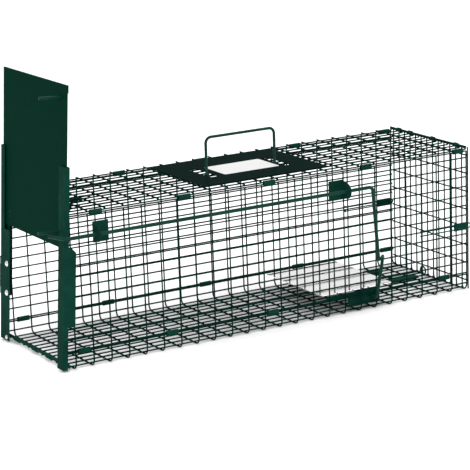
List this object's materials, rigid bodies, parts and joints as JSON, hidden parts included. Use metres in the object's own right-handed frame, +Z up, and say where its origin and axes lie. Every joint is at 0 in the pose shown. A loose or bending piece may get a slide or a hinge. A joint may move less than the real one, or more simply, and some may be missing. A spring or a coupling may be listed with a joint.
{
  "type": "live catch trap",
  "caption": "Long wire-mesh live catch trap with a raised drop door, guide posts, trigger rod, tilting foot plate and a carrying handle over a guard plate.",
  "frame": {"origin": "middle of the trap's overall box, on the ground", "axes": "+X from the doorway to the closed end, +Y from the trigger rod's side to the far side, +Z up"},
  "size_m": [0.6498, 0.2099, 0.3609],
  "materials": {
    "green_paint": "satin bottle green coating",
    "dark_plate": "satin near-black green coating",
    "galvanised": "dull zinc plate",
    "bright_plate": "bright galvanised sheet",
    "plated_rivet": "bright zinc",
    "label_white": "blank paper-white label"
  },
  "bodies": {
    "cage": {"floor_mesh": "green_paint", "near_floor_lip": "green_paint", "far_floor_lip": "green_paint", "near_wall_mesh": "green_paint", "far_wall_mesh": "green_paint", "top_mesh": "green_paint", "end_mesh": "green_paint", "near_seam_sleeves": "green_paint", "far_seam_sleeves": "green_paint", "near_top_sleeves": "green_paint", "far_top_sleeves": "green_paint", "floor_straps": "green_paint", "near_guide_post": "green_paint", "far_guide_post": "green_paint", "sill_rod": "green_paint", "sill_sleeves": "green_paint", "tie_wire": "green_paint", "end_rod": "green_paint", "end_rod_sleeves": "green_paint", "keeper_strip": "galvanised", "strip_rivets": "plated_rivet", "front_rod_bracket": "green_paint", "rear_rod_bracket": "green_paint", "near_hinge_plate": "green_paint", "far_hinge_plate": "green_paint", "guard_plate": "dark_plate", "label": "label_white", "near_hairpin": "green_paint", "far_hairpin": "green_paint", "near_cap_clip": "green_paint", "far_cap_clip": "green_paint", "bait_ring": "green_paint"},
    "door": {"door_panel": "green_paint", "door_pins": "green_paint", "door_rivet": "green_paint"},
    "treadle": {"treadle_plate": "bright_plate", "treadle_lever": "green_paint"},
    "trigger": {"trigger_rod": "green_paint"},
    "handle": {"handle": "green_paint"}
  },
  "joints": [
    {"name": "door_slide", "type": "slide", "parent": "cage", "child": "door", "axis": [-0.0663, 0, -0.9978], "range_m": [0, 0.153]},
    {"name": "treadle_tilt", "type": "hinge", "parent": "cage", "child": "treadle", "pos_m": [0.1617, -0.00145, 0.018], "axis": [0, -1, 0], "range_deg": [0, 15]},
    {"name": "trigger_slide", "type": "slide", "parent": "cage", "child": "trigger", "axis": [-1, 0, 0], "range_m": [0, 0.0152]},
    {"name": "handle_fold", "type": "hinge", "parent": "cage", "child": "handle", "pos_m": [0.0087, 0.0018, 0.1999], "axis": [1, 0, 0], "range_deg": [-75, 75]}
  ],
  "couplings": [
    {"joint": "trigger_slide", "follows": "treadle_tilt", "m_per_rad": 0.0578}
  ]
}
